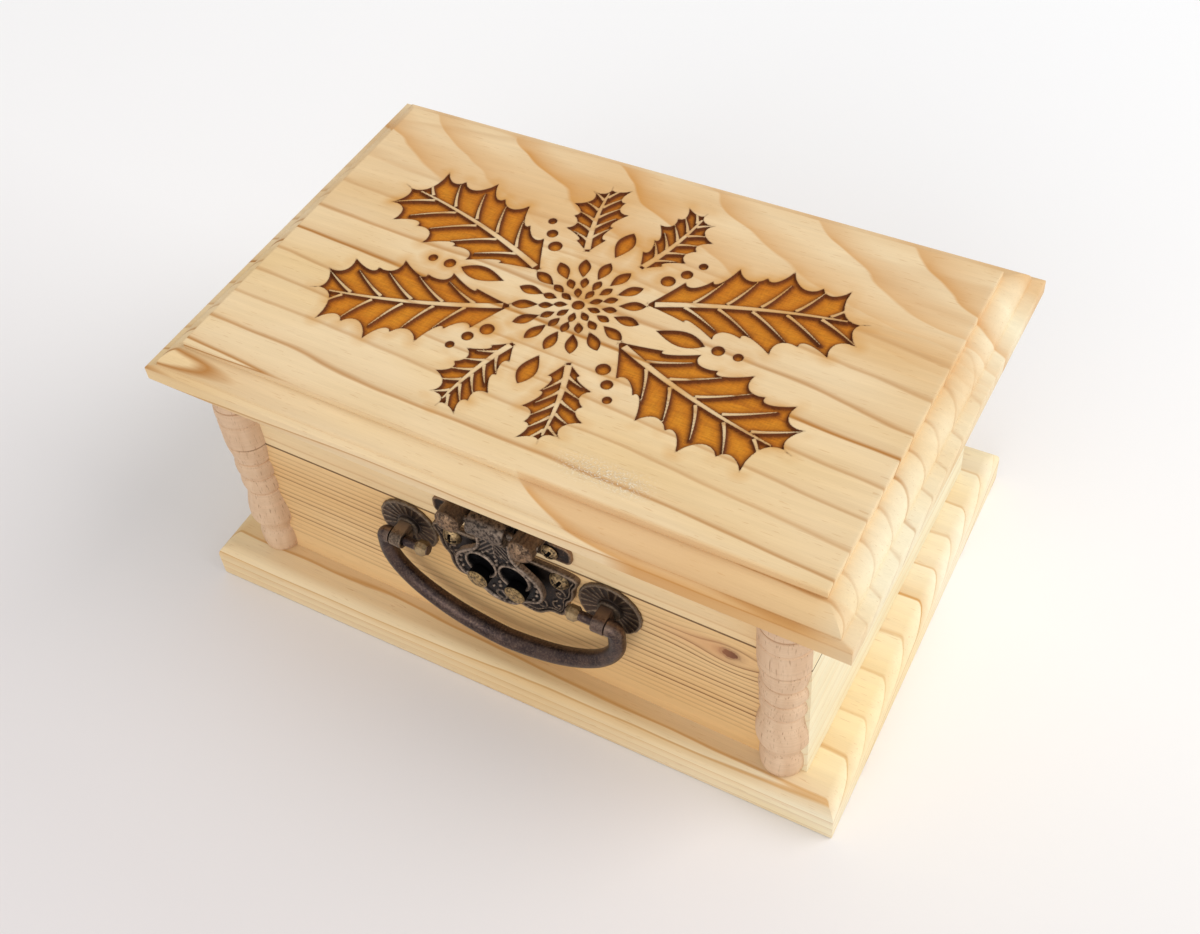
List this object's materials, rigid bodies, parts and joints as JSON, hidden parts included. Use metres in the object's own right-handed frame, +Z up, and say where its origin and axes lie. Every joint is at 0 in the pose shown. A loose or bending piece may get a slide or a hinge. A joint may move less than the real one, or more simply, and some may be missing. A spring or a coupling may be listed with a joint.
{
  "type": "keepsake box",
  "caption": "Small wooden keepsake box with a hinged, mould-edged lid with carved top, turned half columns on the front corners, a swinging metal hasp and a bail handle",
  "frame": {"origin": "on the surface that the box stands on, under the middle of the body", "axes": "+X right as seen from the front, +Y to the back, +Z up"},
  "size_m": [0.22, 0.1474, 0.1002],
  "materials": {
    "pine_lid": "bare sanded pine with burned carving",
    "pine_wall": "bare sanded pine",
    "pine_base": "bare sanded pine",
    "beech": "bare turned beech",
    "bronze": "antique bronze plating, rubbed at the edges",
    "worn_brass": "worn brass, brown in the hollows"
  },
  "bodies": {
    "case": {"base_board": "pine_base", "wall_front": "pine_wall", "wall_back": "pine_wall", "wall_left": "pine_wall", "wall_right": "pine_wall", "column_lower_left": "beech", "column_lower_right": "beech", "hinge_leaf_case_left": "bronze", "hinge_leaf_case_right": "bronze", "hinge_pins": "worn_brass", "hinge_screws_case": "worn_brass", "clasp_plate_lower": "bronze", "clasp_screws_lower": "worn_brass", "rosette_left": "bronze", "rosette_right": "bronze", "handle_post_left": "bronze", "handle_post_right": "bronze", "handle_nuts": "bronze"},
    "lid": {"lid_board": "pine_lid", "rail_front": "pine_wall", "rail_back": "pine_wall", "rail_left": "pine_wall", "rail_right": "pine_wall", "column_upper_left": "beech", "column_upper_right": "beech", "hinge_leaf_lid_left": "bronze", "hinge_leaf_lid_right": "bronze", "hinge_screws_lid": "worn_brass", "clasp_plate_upper": "bronze", "clasp_screws_upper": "worn_brass", "clasp_pin": "bronze"},
    "hasp": {"hasp": "bronze", "hasp_rivets": "worn_brass", "hasp_spring": "bronze"},
    "bail": {"bail": "bronze", "bail_knobs": "worn_brass"}
  },
  "joints": [
    {"name": "lid_hinge", "type": "hinge", "parent": "case", "child": "lid", "pos_m": [0, 0.0629, 0.064], "axis": [-1, 0, 0], "range_deg": [0, 165]},
    {"name": "hasp_hinge", "type": "hinge", "parent": "lid", "child": "hasp", "pos_m": [0.0044, -0.0659, 0.077], "axis": [-1, 0, 0], "range_deg": [0, 135]},
    {"name": "bail_swing", "type": "hinge", "parent": "case", "child": "bail", "pos_m": [0.004, -0.0668, 0.0546], "axis": [-1, 0, 0], "range_deg": [-4, 150]}
  ]
}
